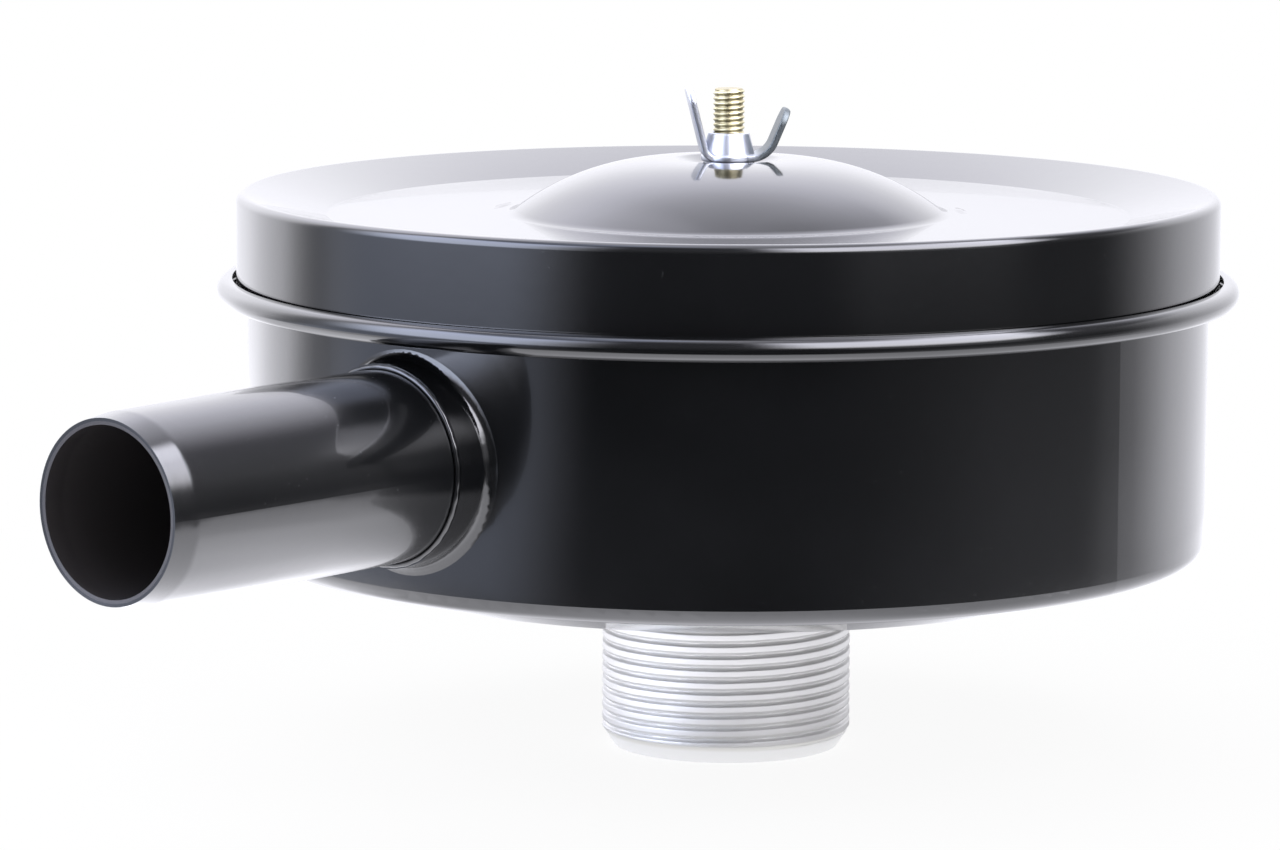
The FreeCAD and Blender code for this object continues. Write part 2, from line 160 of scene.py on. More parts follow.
# Inlet tube, and the seam at the drawn-out lip of the pan. The bore is told from the tube's
# outside by the middle of its sheet, from the mouth (y, radius) to deep inside (y, radius).
TUBE_AXIS_Z = 30.85 * MM
TUBE_MOUTH = (-167.3 * MM, 15.6 * MM)
TUBE_DEEP = (-139.0 * MM, 16.9 * MM)
SEAM_Y = -97.73 * MM
SEAM_RADIUS = 17.8 * MM
SEAM_BEAD = 0.48 * MM
SEAM_SWELL = 1.6
SEAM_FLAT = 0.9
SEAM_WANDER = 0.5 * MM
SEAM_WAVES = (5, 9, 14, 23, 37)
SEAM_WAVE_SIZES = (0.02, 0.05)

# Camera and studio, on bearings from the photograph's line of sight
BEARING = math.radians(39.0)
CAMERA_RISE = math.radians(8.2)
CAMERA_ROLL = math.radians(0.3)
CAMERA_DISTANCE = 1.093
CAMERA_AIM = Vector((0.0, 0.0, 0.02772))
CAMERA_LENS = 160.0
CAMERA_SENSOR = 36.0
CAMERA_SHIFT = -0.0682
CAMERA_CLIP = (0.05, 20.0)
FLOOR_Z = NIPPLE_END
FLOOR_RADII = (0.0, 0.3, 2.6)
FLOOR_STEPS = 180
FLOOR_SHADE = 0.07
WORLD_LIGHT = 0.55
TABLE_EDGE = 0.215
ROOM_START = 0.30
ROOM_RADIUS = 1.45
ROOM_LIFT = 0.001
ROOM_STEPS = 360
ROOM_TINT = (0.985, 0.985, 1.05)
WINDOW_TINT = (-0.08, 0.0, 0.18)
CEILING_TINT = (0.0, 0.0, 0.06)

# Each lamp's name, bearing, rise, distance, width and height, and radiance
LAMPS = (
    ("softbox_above", 190, 72, 1.3, (1.3, 1.0), (2.3, 2.3, 2.35)),
    ("softbox_left", -75, 35, 1.4, (0.9, 0.9), (1.9, 1.95, 2.1)),
    ("softbox_right", 40, 45, 1.4, (0.6, 0.6), (2.0, 2.0, 2.0)),
)


# Surfaces

def grid_mesh(name, parts):
    """Mesh from grids of points, each given as (points, wrap) with points as rows by columns
    by 3. Rows and columns close on themselves where wrap says so."""
    vertices, faces, start = [], [], 0
    for points, wrap in parts:
        rows, columns = points.shape[:2]
        index = start + np.arange(rows * columns).reshape(rows, columns)
        if wrap[0]:
            index = np.vstack([index, index[:1]])
        if wrap[1]:
            index = np.hstack([index, index[:, :1]])
        corners = [index[:-1, :-1], index[:-1, 1:], index[1:, 1:], index[1:, :-1]]
        vertices.append(points.reshape(-1, 3))
        faces.append(np.stack(corners, axis=-1).reshape(-1, 4))
        start += rows * columns
    mesh = bpy.data.meshes.new(name)
    mesh.from_pydata(np.vstack(vertices), [], np.vstack(faces))
    return mesh


def placed(name, mesh, material):
    """Object in the scene with a mesh that is shaded smooth and has one material."""
    mesh.polygons.foreach_set("use_smooth", np.ones(len(mesh.polygons), dtype=bool))
    mesh.materials.append(material)
    thing = bpy.data.objects.new(name, mesh)
    bpy.context.scene.collection.objects.link(thing)
    return thing


def joined(name, parts, body, material, crease=None):
    """Piece from closed grids. Points that fall together, as at a pole, are welded, its faces
    are turned outward, edges sharper than the crease stay sharp, and it rides on a body."""
    mesh = grid_mesh(name, parts)
    work = bmesh.new()
    work.from_mesh(mesh)
    bmesh.ops.remove_doubles(work, verts=work.verts, dist=COINCIDENT)
    bmesh.ops.recalc_face_normals(work, faces=work.faces)
    work.to_mesh(mesh)
    work.free()
    piece = placed(name, mesh, material)
    if crease is not None:
        mesh.set_sharp_from_angle(angle=math.radians(crease))
    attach(piece, body)
    return piece


def mesh_piece(name, points, body, material, wrap=(True, True), crease=None):
    """Piece from one grid of points."""
    return joined(name, [(points, wrap)], body, material, crease)


def angles(count):
    """Even angles round a turn, the last one a step short of the first."""
    return np.linspace(0, TURN, count, endpoint=False)


def turned(radius, angle, height):
    """Grid of the points (r cos a, r sin a, z), from arrays that fit each other's shapes."""
    x, y = radius * np.cos(angle), radius * np.sin(angle)
    return np.stack([x, y, height + 0 * x], axis=-1)


def spun(outline, count):
    """Points of an (r, z) outline turned about Z by even angles."""
    return turned(outline[:, :1], angles(count), outline[:, 1:])


def swept(centre, radius, start, end, count):
    """Arc of (r, z) points round a centre, from one angle to another in radians."""
    angle = np.linspace(start, end, count)[:, None]
    return np.array(centre) + radius * np.hstack([np.cos(angle), np.sin(angle)])


def rounded(corners, steps=6):
    """Outline through (r, z, bend) corners as an array of (r, z) points. Each corner is cut
    by an arc tangent to both of its sides, of radius bend; bend 0 keeps the corner."""
    corners = np.array(corners, float)
    places, bends = corners[:, :2], corners[:, 2]
    before = np.roll(places, 1, axis=0) - places
    after = np.roll(places, -1, axis=0) - places
    before /= np.linalg.norm(before, axis=1)[:, None]
    after /= np.linalg.norm(after, axis=1)[:, None]
    half = np.arccos(np.clip((before * after).sum(1), -1, 1)) / 2
    inward = before + after
    inward /= np.maximum(np.linalg.norm(inward, axis=1), TINY)[:, None]
    centre = places + inward * (bends / np.sin(half))[:, None]
    sweep = np.linspace(-1, 1, steps)[None, :] * (math.pi / 2 - half)[:, None]
    across = after - before
    across /= np.maximum(np.linalg.norm(across, axis=1), TINY)[:, None]
    arcs = centre[:, None] - bends[:, None, None] * (
        np.cos(sweep)[..., None] * inward[:, None] - np.sin(sweep)[..., None] * across[:, None]
    )
    points = arcs.reshape(-1, 2)
    gaps = np.linalg.norm(points - np.roll(points, 1, axis=0), axis=1)
    return points[gaps > COINCIDENT]


def groove(angle, height, pitch, crest, root):
    """How deep a right-hand thread is cut, 0 on its crest and 1 in its root. The place along
    the pitch is height over pitch less angle over a turn; crest and root are the flat shares
    of the half pitch, and the flank between them is eased at both ends."""
    place = height / pitch - angle / TURN
    away = np.abs(2 * (place - np.round(place)))
    flank = np.clip((away - crest) / (1 - crest - root), 0, 1)
    return (1 - FLANK_EASE) * flank + FLANK_EASE * flank * flank * (3 - 2 * flank)


def lid_face(density):
    """Outer face of the lid as (r, z) points from the hole to the curl's end, with density
    points in each small bend. The dome is two tangent arcs; their common lean follows from
    height = sum of radii * (1 - cos lean)."""
    shoulder, base = DOME_BENDS
    top = LID_ANNULUS + DOME_HEIGHT
    depth, flat_radius, inset, bend = DISH
    right = math.pi / 2
    dish = rounded([
        (LID_HOLE, top - depth, 0.0),
        (flat_radius, top - depth, bend),
        (DOME_CROWN - inset, top, bend),
        (DOME_CROWN, top, 0.0),
    ], density)
    dome = np.vstack([
        swept((DOME_CROWN, top - shoulder), shoulder, right, right - DOME_LEAN, 2 * density),
        swept((DOME_BASE, LID_ANNULUS + base), base, -right - DOME_LEAN, -right, 2 * density),
    ])
    rim = LID_ANNULUS + (LID_RADIUS - CONE_START) * CONE_SLOPE
    flat = rounded([
        (DOME_BASE, LID_ANNULUS, 0.0),
        (CONE_START, LID_ANNULUS, CONE_BEND),
        (LID_RADIUS, rim, RIM_BEND),
        (LID_RADIUS, BEAD_CENTRE, 0.0),
    ], density)
    curl = BEAD_RADIUS - LID_SHEET
    bead = swept((LID_RADIUS + curl, BEAD_CENTRE), curl, math.pi, BEAD_END, 3 * density)
    points = np.vstack([dish, dome, flat, bead])
    gaps = np.linalg.norm(np.diff(points, axis=0), axis=1)
    return points[np.append(True, gaps > COINCIDENT)]


def lid_sheet(material):
    """Lid pressed from sheet: its outer face, and the same line moved in by the thickness
    along its normal, joined at hole and curl and turned about Z."""
    outer, inner = lid_face(density=11), lid_face(density=5)
    run = np.gradient(inner, axis=0)
    run /= np.linalg.norm(run, axis=1)[:, None]
    inner = inner + LID_SHEET * np.stack([run[:, 1], -run[:, 0]], axis=-1)
    points = spun(np.vstack([outer, inner[::-1]]), count=480)
    piece = mesh_piece("lid_pressed", points, "lid", material, crease=50)
    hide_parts("lid")


def weld_marks(material):
    """Two shallow marks round the foot of the dome: height = top * (1 - s * s) ** 2 over an
    oval of the parameter s, so that each runs out flat into the sheet."""
    gap, half_length, half_width, top = WELD_MARK
    lift, sink = WELD_MARK_SEAT
    share = np.linspace(0, 1, 14)[:, None]
    angle = angles(48)
    x = half_width * share * np.cos(angle)
    y = half_length * share * np.sin(angle)
    z = LID_ANNULUS + top * (1 - share**2) ** 2 + lift + 0 * x
    under = np.stack([x, y, LID_ANNULUS - sink + 0 * x], axis=-1)
    mark = np.vstack([np.stack([x, y, z], axis=-1), under[::-1]])
    parts = []
    for turn in WELD_MARK_ANGLES:
        spin = np.array(Matrix.Rotation(turn, 3, "Z"))
        parts.append(((mark + (DOME_BASE + gap, 0, 0)) @ spin.T, (True, True)))
    joined("weld_marks", parts, "lid", material, crease=60)


def threaded_nipple(material):
    """Turned nipple. Its outline runs down the thread, over the chamfer and up the bore; on
    the thread the radius is the crest less the groove, and never more than the chamfer's."""
    chamfer_height, chamfer_depth = NIPPLE_CHAMFER
    flange_radius, flange_low, flange_high = FLANGE
    samples = int((PIPE_TOP - NIPPLE_END) / PIPE_PITCH * PIPE_SAMPLES)
    height = np.linspace(PIPE_TOP, NIPPLE_END, samples)[:, None]
    mouth, inlet, face, back, relief, foot = NIPPLE_EDGES
    lower = rounded([
        (NIPPLE_RADIUS - chamfer_depth, NIPPLE_END, 0.0),
        (NIPPLE_BORE, NIPPLE_END, mouth),
        (NIPPLE_BORE, flange_high, inlet),
        (flange_radius, flange_high, face),
        (flange_radius, flange_low, back),
        (NIPPLE_RELIEF, flange_low, relief),
        (NIPPLE_RELIEF, 0.0, foot),
    ])
    count = 288
    angle = angles(count)
    cut = groove(angle, height, PIPE_PITCH, *PIPE_FLATS) * PIPE_DEPTH
    cut *= np.clip((PIPE_TOP - height) / PIPE_RUN_OUT, 0, 1)
    rise = np.clip((height - NIPPLE_END) / chamfer_height, 0, 1)
    cone = NIPPLE_RADIUS - chamfer_depth * (1 - rise)
    thread = turned(np.minimum(NIPPLE_RADIUS - cut, cone), angle, height)
    points = np.vstack([thread, spun(lower[1:], count)])
    piece = mesh_piece(
        "nipple_threaded", points, "housing", material, crease=40
    )
    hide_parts("outlet_nipple")


def threaded_stud(material):
    """Tie stud. The radius along its length is the crest less the groove on its two threaded
    ends, plain between them, and drops to a bevel and a pole at each tip. Each groove runs
    out to nothing at the thread's inner end."""
    lower, upper = STUD_THREADS
    height = np.concatenate([
        np.linspace(low, high, int((high - low) / STUD_PITCH * STUD_SAMPLES))
        for low, high in STUD_THREADS
    ])[:, None]
    angle = angles(40)
    cut = groove(angle, height, STUD_PITCH, *STUD_FLATS) * STUD_DEPTH
    for inner_end in (lower[1], upper[0]):
        cut = cut * np.clip(np.abs(height - inner_end) / STUD_RUN_OUT, 0, 1)
    tip = np.minimum(height - STUD_LOW, STUD_HIGH - height)
    radius = np.minimum(STUD_RADIUS - cut, STUD_RADIUS - STUD_BEVEL + tip)
    shank = turned(radius, angle, height)
    bottom, top = shank[:1] * (0, 0, 1), shank[-1:] * (0, 0, 1)
    points = np.vstack([bottom, shank, top])
    piece = mesh_piece(
        "stud_threaded", points, "housing", material, wrap=(False, True), crease=40
    )
    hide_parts("tie_stud")


def squared(wave):
    """A sine or cosine flattened at its ends, so that the pair draws a superellipse."""
    return np.sign(wave) * np.abs(wave) ** (2 / WING_POWER)


def wing(root, lean, length, inner_bend, turn):
    """Blade of the wing nut: a strip carried along a path that leaves the base flat, bends up
    by its lean and runs straight. The strip's section is a superellipse. Towards the tip its
    half width is drawn in by a quarter circle, and its sheet thins over the last edge."""
    bend = inner_bend + NUT_SHEET / 2
    foot = root - NUT_SHEET * math.tan(lean / 2)
    run = length - (inner_bend + NUT_SHEET) * math.tan(lean / 2)
    arc = bend * lean
    crowded = np.sin(np.linspace(0, math.pi / 2, 34)) ** 0.9
    along = np.concatenate([
        np.linspace(WING_START, foot, 5)[:-1],
        foot + np.linspace(0, arc, 24)[:-1],
        foot + arc + run * crowded,
    ])
    along = np.sort(along[along >= WING_START])
    swing = np.clip((along - foot) / bend, 0, lean)
    straight = np.clip(along - foot - arc, 0, None)
    reach = np.minimum(along, foot) + bend * np.sin(swing) + straight * math.cos(lean)
    level = bend * (1 - np.cos(swing)) + straight * math.sin(lean)
    left = np.clip(along[-1] - along, 0, None)
    corner = np.clip(WING_CORNER - left, 0, WING_CORNER)
    drawn = np.sqrt(np.maximum(WING_CORNER**2 - corner**2, 0))
    half_width = WING_HALF_WIDTH - WING_CORNER + drawn
    edge = np.clip(WING_EDGE - left, 0, WING_EDGE) / WING_EDGE
    thinning = WING_TIP + (1 - WING_TIP) * np.sqrt(np.maximum(1 - edge**2, 0))
    half_sheet = NUT_SHEET / 2 * thinning
    around = angles(48)
    across = squared(np.cos(around)) * half_width[:, None]
    through = squared(np.sin(around)) * half_sheet[:, None]
    x = reach[:, None] - through * np.sin(swing)[:, None]
    z = NUT_LOW + NUT_SHEET / 2 + level[:, None] + through * np.cos(swing)[:, None]
    strip = np.stack([x, across, z], axis=-1)
    opening, closing = (
        end.mean(axis=1, keepdims=True) + 0 * end for end in (strip[:1], strip[-1:])
    )
    spin = np.array(Matrix.Rotation(WING_SPAN + turn, 3, "Z"))
    return np.vstack([opening, strip, closing]) @ spin.T


def pressed_wing_nut(material):
    """Wing nut: a turned base whose collar is drawn up to a cone, with two blades."""
    collar_foot, collar_top, collar_height = NUT_COLLAR
    bore_low, under, shoulder, foot, crown, bore_high = NUT_EDGES
    base = rounded([
        (NUT_BORE, NUT_LOW, bore_low),
        (NUT_BASE, NUT_LOW, under),
        (NUT_BASE, NUT_LOW + NUT_SHEET, shoulder),
        (collar_foot, NUT_LOW + NUT_SHEET + NUT_STEP, foot),
        (collar_top, NUT_LOW + collar_height, crown),
        (NUT_BORE, NUT_LOW + collar_height, bore_high),
    ])
    parts = [
        (spun(base, count=96), (True, True)),
        (wing(*RIGHT_WING, turn=0.0), (False, True)),
        (wing(*LEFT_WING, turn=math.pi), (False, True)),
    ]
    piece = joined("wing_nut_pressed", parts, "nut", material, crease=50)
    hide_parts("wing_nut")


def domed_rivets(material):
    """Rivets whose two heads are domes: the outline is a shank between two quarter ovals."""
    head_radius, head_height = RIVET_HEAD
    low, high = RIVET_GRIP
    sweep = np.linspace(0, math.pi / 2, 10)
    dome = np.stack([head_radius * np.sin(sweep), head_height * np.cos(sweep)], axis=-1)
    lower = dome * (1, -1) + (0, low)
    upper = dome[::-1] + (0, high)
    shank = np.array([(RIVET_RADIUS, low), (RIVET_RADIUS, high)])
    rivet = spun(np.vstack([lower, shank, upper]), count=40)
    parts = []
    for angle in angles(RIVET_COUNT):
        place = (RIVET_CIRCLE * math.cos(angle), RIVET_CIRCLE * math.sin(angle), 0)
        parts.append((rivet + place, (False, True)))
    piece = joined("rivets_domed", parts, "housing", material, crease=50)
    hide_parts("flange_rivets")


def pleated_paper(material):
    """Pleated ring. Its middle line is r = mean + swing * asin(k cos(pleats a)) / asin(k),
    a zigzag with rounded folds, where k is the sharpness. Between its ends each pleat sways
    sideways by an amount of its own. The paper's two faces lie half its thickness to each
    side along the line's normal."""
    inner, outer = PLEAT_RADII
    half = PAPER / 2
    mean, swing = (inner + outer) / 2, (outer - inner) / 2 - half
    angle = angles(PLEATS * PLEAT_SAMPLES)
    zigzag = np.arcsin(PLEAT_SHARPNESS * np.cos(PLEATS * angle)) / math.asin(PLEAT_SHARPNESS)
    radius = mean + swing * zigzag
    rng = np.random.default_rng(4)
    own = np.append(rng.normal(size=PLEATS), 0)
    sway = PLEAT_SWAY * np.interp(angle * PLEATS / TURN, np.arange(PLEATS + 1), own)
    share = np.linspace(0, 1, 9)[:, None]
    low, high = PLEAT_LEVELS
    bearing = angle + np.sin(math.pi * share) * sway
    x, y = radius * np.cos(bearing), radius * np.sin(bearing)
    dx = np.roll(x, -1, axis=1) - np.roll(x, 1, axis=1)
    dy = np.roll(y, -1, axis=1) - np.roll(y, 1, axis=1)
    middle = np.stack([x, y, low + (high - low) * share + 0 * x], axis=-1)
    normal = half * np.stack([dy, -dx, 0 * x], axis=-1) / np.hypot(dx, dy)[..., None]
    points = np.vstack([middle + normal, (middle - normal)[::-1]])
    piece = mesh_piece("paper_pleated", points, "housing", material, crease=60)
    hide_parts("filter_media")


def potting_rings(material):
    """Cast rings that hold the paper in its two channels. The free face is drawn in waves,
    depth + small sines of the angle, and creeps up the channel's two walls at its rims."""
    inner, outer = POTTING_RADII
    radius = np.linspace(inner, outer, 12)[:, None]
    angle = angles(720)
    wave = sum(size * np.sin(count * angle + start) for count, size, start in POTTING_WAVES)
    rim = np.clip(np.minimum(radius - inner, outer - radius) / POTTING_RIM, 0, 1)
    face = POTTING_DEPTH + POTTING_CREEP * ((1 - rim) ** 2 + wave * rim)
    parts = []
    for floor, way in zip(POTTING_FLOORS, (1, -1)):
        free = turned(radius, angle, floor + way * face)
        back = free[::-1].copy()
        back[..., 2] = floor
        parts.append((np.vstack([free, back]), (True, True)))
    joined("potting", parts, "housing", material, crease=60)


def neck_seam(material):
    """Brazed seam round the tube at the neck's lip: a thin torus about the tube's axis whose
    section and middle circle vary a little with the angle, as a hand-run seam does."""
    angle = angles(360)[:, None]
    section = angles(16)
    rng = np.random.default_rng(11)
    uneven = sum(
        rng.uniform(*SEAM_WAVE_SIZES) * np.sin(count * angle + rng.uniform(0, TURN))
        for count in SEAM_WAVES
    )
    bead = SEAM_BEAD * (1 + SEAM_SWELL * uneven)
    radius = SEAM_RADIUS + bead * np.cos(section)
    depth = SEAM_Y + SEAM_WANDER * uneven - SEAM_FLAT * bead * np.sin(section)
    height = TUBE_AXIS_Z + radius * np.sin(angle)
    points = np.stack([radius * np.cos(angle), depth, height], axis=-1)
    mesh_piece("neck_seam", points, "housing", material)


# Finishes

class Signal:
    """A socket of a node tree that can be reckoned with like a number."""

    def __init__(self, nodes, socket):
        self.nodes = nodes
        self.socket = socket

    def math(self, operation, *values):
        inputs = dict(enumerate(values))
        return self.nodes.node("ShaderNodeMath", {"operation": operation}, inputs)

    def __add__(self, other):
        return self.math("ADD", self, other)

    def __sub__(self, other):
        return self.math("SUBTRACT", self, other)

    def __rsub__(self, other):
        return self.math("SUBTRACT", other, self)

    def __mul__(self, other):
        return self.math("MULTIPLY", self, other)

    def __truediv__(self, other):
        return self.math("DIVIDE", self, other)

    def __pow__(self, other):
        return self.math("POWER", self, other)

    __radd__ = __add__
    __rmul__ = __mul__

    def step(self, low, high):
        """0 below low and 1 above high, eased between them; low may be the larger."""
        if low > high:
            return 1 - self.step(high, low)
        settings = {"interpolation_type": "SMOOTHSTEP", "clamp": True}
        inputs = {"Value": self, "From Min": low, "From Max": high}
        return self.nodes.node("ShaderNodeMapRange", settings, inputs)


class Nodes:
    """A node tree, written as sockets and sums."""

    def __init__(self, tree):
        self.tree = tree

    def node(self, kind, settings=None, inputs=None, output=0):
        """Adds a node, sets its settings, then its sockets, and gives back one output."""
        made = self.tree.nodes.new(kind)
        for setting, value in (settings or {}).items():
            setattr(made, setting, value)
        for socket, value in (inputs or {}).items():
            if isinstance(value, Signal):
                self.tree.links.new(value.socket, made.inputs[socket])
            else:
                made.inputs[socket].default_value = value
        return Signal(self, made.outputs[output])

    def outputs(self, kind, names, inputs=None):
        """Adds a node and gives back several of its outputs."""
        made = self.node(kind, None, inputs).socket.node
        return [Signal(self, made.outputs[name]) for name in names]

    def background_rays(self):
        """1 for the rays that see the background: the camera's, and those off gloss and
        through glass."""
        names = ("Is Camera Ray", "Is Glossy Ray", "Is Transmission Ray")
        camera, gloss, glass = self.outputs("ShaderNodeLightPath", names)
        return camera + gloss + glass


class Finish(Nodes):
    """A material with one Principled shader."""

    def __init__(self, name, **constants):
        self.material = bpy.data.materials.new(name)
        self.material.use_nodes = True
        super().__init__(self.material.node_tree)
        self.shader = self.tree.nodes["Principled BSDF"]
        for socket, value in constants.items():
            self.shader.inputs[socket.replace("_", " ")].default_value = value

    def feed(self, **signals):
        """Links signals to the shader's sockets and gives back the material."""
        for socket, signal in signals.items():
            self.tree.links.new(signal.socket, self.shader.inputs[socket.replace("_", " ")])
        return self.material

    def surface(self, signal):
        """Makes a shader the material's surface and gives back the material."""
        output = self.tree.nodes["Material Output"]
        self.tree.links.new(signal.socket, output.inputs["Surface"])
        return self.material

    def place(self, scale=(1, 1, 1)):
        here = self.node("ShaderNodeTexCoord", output="Object")
        return self.node("ShaderNodeMapping", None, {"Vector": here, "Scale": scale})

    def axes(self):
        """The x, y and z of a point on the piece, in metres."""
        here = self.node("ShaderNodeTexCoord", output="Object")
        return self.outputs("ShaderNodeSeparateXYZ", "XYZ", {"Vector": here})

    def radius(self):
        """Distance from the outlet axis."""
        x, y, _ = self.axes()
        return (x * x + y * y) ** 0.5

    def noise(self, scale, detail=2.0, rough=0.5, stretch=(1, 1, 1), vector=None):
        where = vector or self.place(stretch)
        sockets = {"Vector": where, "Scale": scale, "Detail": detail, "Roughness": rough}
        return self.node("ShaderNodeTexNoise", None, sockets)

    def blend(self, factor, low, high):
        """Colour between low and high by a factor; the numbers are a Mix node's sockets."""
        settings = {"data_type": "RGBA", "clamp_factor": True}
        return self.node("ShaderNodeMix", settings, {0: factor, 6: low, 7: high}, 2)

    def bump(self, height, distance, strength=1.0, under=None):
        sockets = {"Height": height, "Distance": distance, "Strength": strength}
        if under is not None:
            sockets["Normal"] = under
        return self.node("ShaderNodeBump", None, sockets)


def colour(red, green, blue):
    return (red, green, blue, 1.0)


def turned_vector(finish, along, round_about):
    """Vector for marks that run round the axis: radius and height scaled by along, and the
    unit direction scaled by round_about, so that noise on it is long in the turning sense."""
    x, y, z = finish.axes()
    radius = (x * x + y * y) ** 0.5
    sockets = {
        "X": x / radius * round_about + radius * along,
        "Y": y / radius * round_about,
        "Z": z * along,
    }
    return finish.node("ShaderNodeCombineXYZ", None, sockets)


def black_enamel(name, roughness, orange_peel, bore=None):
    """Baked gloss enamel: near black, a hard clear top, faint orange peel and the long soft
    waves of pressed sheet under it, and specks of dust that dull it here and there. The bore
    of a tube, where one is given as its (y, radius) at the mouth and deep inside, is painted
    paler, a painted light inside it, and is dull."""
    finish = Finish(
        name, Coat_Weight=0.55, Coat_Roughness=0.035, Coat_IOR=1.5, Specular_IOR_Level=0.5
    )
    cloud = finish.noise(28, 3)
    speck = finish.noise(1500, 1).step(0.74, 0.80)
    deep, pale = colour(0.0045, 0.005, 0.006), colour(0.0075, 0.008, 0.0095)
    tint = finish.blend(cloud.step(0.35, 0.7), deep, pale)
    base = finish.blend(speck * 0.5, tint, colour(0.035, 0.035, 0.037))
    rough = roughness + cloud * 0.05 + speck * 0.12
    if bore is not None:
        (mouth_y, mouth_radius), (deep_y, deep_radius) = bore
        x, y, z = finish.axes()
        middle = finish.node("ShaderNodeMapRange", None, {
            "Value": y,
            "From Min": mouth_y,
            "From Max": deep_y,
            "To Min": mouth_radius,
            "To Max": deep_radius,
        })
        off_axis = (x * x + (z - TUBE_AXIS_Z) ** 2) ** 0.5
        # painted light: the bore is painted paler than the enamel outside it
        inside = (off_axis - middle).step(0.1 * MM, -0.1 * MM)
        base = finish.blend(inside, base, colour(0.05, 0.045, 0.047))
        rough = rough + inside * 0.25
    peel = finish.noise(420, 2, 0.45)
    waves = finish.bump(finish.noise(26, 1), 0.16 * MM, 0.12)
    normal = finish.bump(peel, orange_peel, under=waves)
    return finish.feed(Base_Color=base, Roughness=rough, Normal=normal)


def turned_aluminium():
    """Bright turned aluminium: fine tool lines round the axis, cloudy crests painted a little
    darker than the roots, a painted shade that damps their highlights, and the chamfer painted
    brighter, a painted highlight."""
    finish = Finish("turned_aluminium", Metallic=1.0)
    lines = finish.noise(1.0, 2, 0.6, vector=turned_vector(finish, 9000, 1.2))
    cloud = finish.noise(60, 2)
    clean = colour(0.80, 0.795, 0.78)
    # painted shade: the crests are painted darker than the roots, to damp their highlights
    crest = finish.radius().step(NIPPLE_RADIUS - PIPE_DEPTH, NIPPLE_RADIUS - 0.3 * PIPE_DEPTH)
    cloudy_shaded_crest = finish.blend(cloud, colour(0.73, 0.725, 0.71), clean)
    thread = finish.blend(crest, clean, cloudy_shaded_crest)
    # painted highlight: the chamfer is painted brighter than the thread
    full, gone = NIPPLE_PAINTED_HIGHLIGHT
    painted_highlight = finish.axes()[2].step(NIPPLE_END + gone, NIPPLE_END + full)
    base = finish.blend(painted_highlight, thread, colour(0.86, 0.86, 0.87))
    rough = 0.48 + cloud * 0.06 + lines * 0.08
    return finish.feed(Base_Color=base, Roughness=rough, Normal=finish.bump(lines, 0.02 * MM, 0.35))


def zinc_sheet():
    """Hot-dipped sheet: spangle cells of slightly different grey and sheen, fine rolling grain."""
    finish = Finish("zinc_sheet", Metallic=1.0)
    sockets = {"Vector": finish.place(), "Scale": 210.0}
    cell = finish.node("ShaderNodeTexVoronoi", None, sockets, "Color")
    tone = finish.node("ShaderNodeSeparateColor", None, {0: cell})
    grain = finish.noise(900, 3, stretch=(1, 1, 6))
    base = finish.blend(tone, colour(0.52, 0.53, 0.55), colour(0.66, 0.67, 0.69))
    rough = 0.27 + tone * 0.13 + grain * 0.06
    return finish.feed(Base_Color=base, Roughness=rough, Normal=finish.bump(grain, 0.01 * MM, 0.4))


def yellow_zinc():
    """Yellow passivated thread: gold with paler and browner clouds, and darker in the roots,
    a painted shade.
    """
    finish = Finish("yellow_zinc", Metallic=1.0)
    cloud = finish.noise(380, 2)
    sway = finish.noise(120, 1)
    crest = finish.radius().step(STUD_RADIUS - STUD_DEPTH, STUD_RADIUS - 0.1 * MM)
    deep, pale = colour(0.54, 0.49, 0.28), colour(0.65, 0.61, 0.42)
    gold = finish.blend(cloud.step(0.3, 0.7), deep, pale)
    shifted = finish.blend(sway.step(0.45, 0.75) * 0.4, gold, colour(0.52, 0.45, 0.31))
    # painted shade: the roots of the thread are painted darker
    base = finish.blend(crest, colour(0.36, 0.32, 0.20), shifted)
    rough = 0.34 + cloud * 0.12
    return finish.feed(Base_Color=base, Roughness=rough, Normal=finish.bump(cloud, 0.02 * MM, 0.3))


def bright_zinc():
    """Bright zinc plate on pressed steel: faintly blue, soft ripples, fine drawing marks, and
    the right wing's blade painted dark, a painted shade, and duller. That blade is told by its
    side of the axis alone, so two of the rivets are painted dark and duller as well."""
    finish = Finish("bright_zinc", Metallic=1.0)
    cloud = finish.noise(240, 2)
    marks = finish.noise(1400, 2, stretch=(1, 1, 0.15))
    bright = finish.blend(cloud, colour(0.47, 0.49, 0.54), colour(0.59, 0.61, 0.66))
    x, y, _ = finish.axes()
    side = x * math.cos(WING_SPAN) + y * math.sin(WING_SPAN)
    # painted shade: the right wing's blade, and whatever lies on its side, is painted dark
    shaded_blade = side.step(*NUT_SHADED_BLADE)
    base = finish.blend(shaded_blade, bright, colour(0.13, 0.145, 0.15))
    rough = 0.31 + marks * 0.10 + shaded_blade * 0.13
    normal = finish.bump(marks, 0.006 * MM, 0.5, finish.bump(cloud, 0.05 * MM, 0.35))
    return finish.feed(Base_Color=base, Roughness=rough, Normal=normal)


def seal_rubber():
    """Moulded rubber: matt black with a pale bloom and a fine pitted skin."""
    finish = Finish("seal_rubber", Specular_IOR_Level=0.4)
    bloom = finish.noise(90, 4, 0.6)
    pits = finish.noise(2600, 2)
    black, pale = colour(0.016, 0.016, 0.017), colour(0.045, 0.045, 0.046)
    base = finish.blend(bloom.step(0.45, 0.8), black, pale)
    rough = 0.56 + bloom * 0.2
    return finish.feed(Base_Color=base, Roughness=rough, Normal=finish.bump(pits, 0.03 * MM, 0.5))


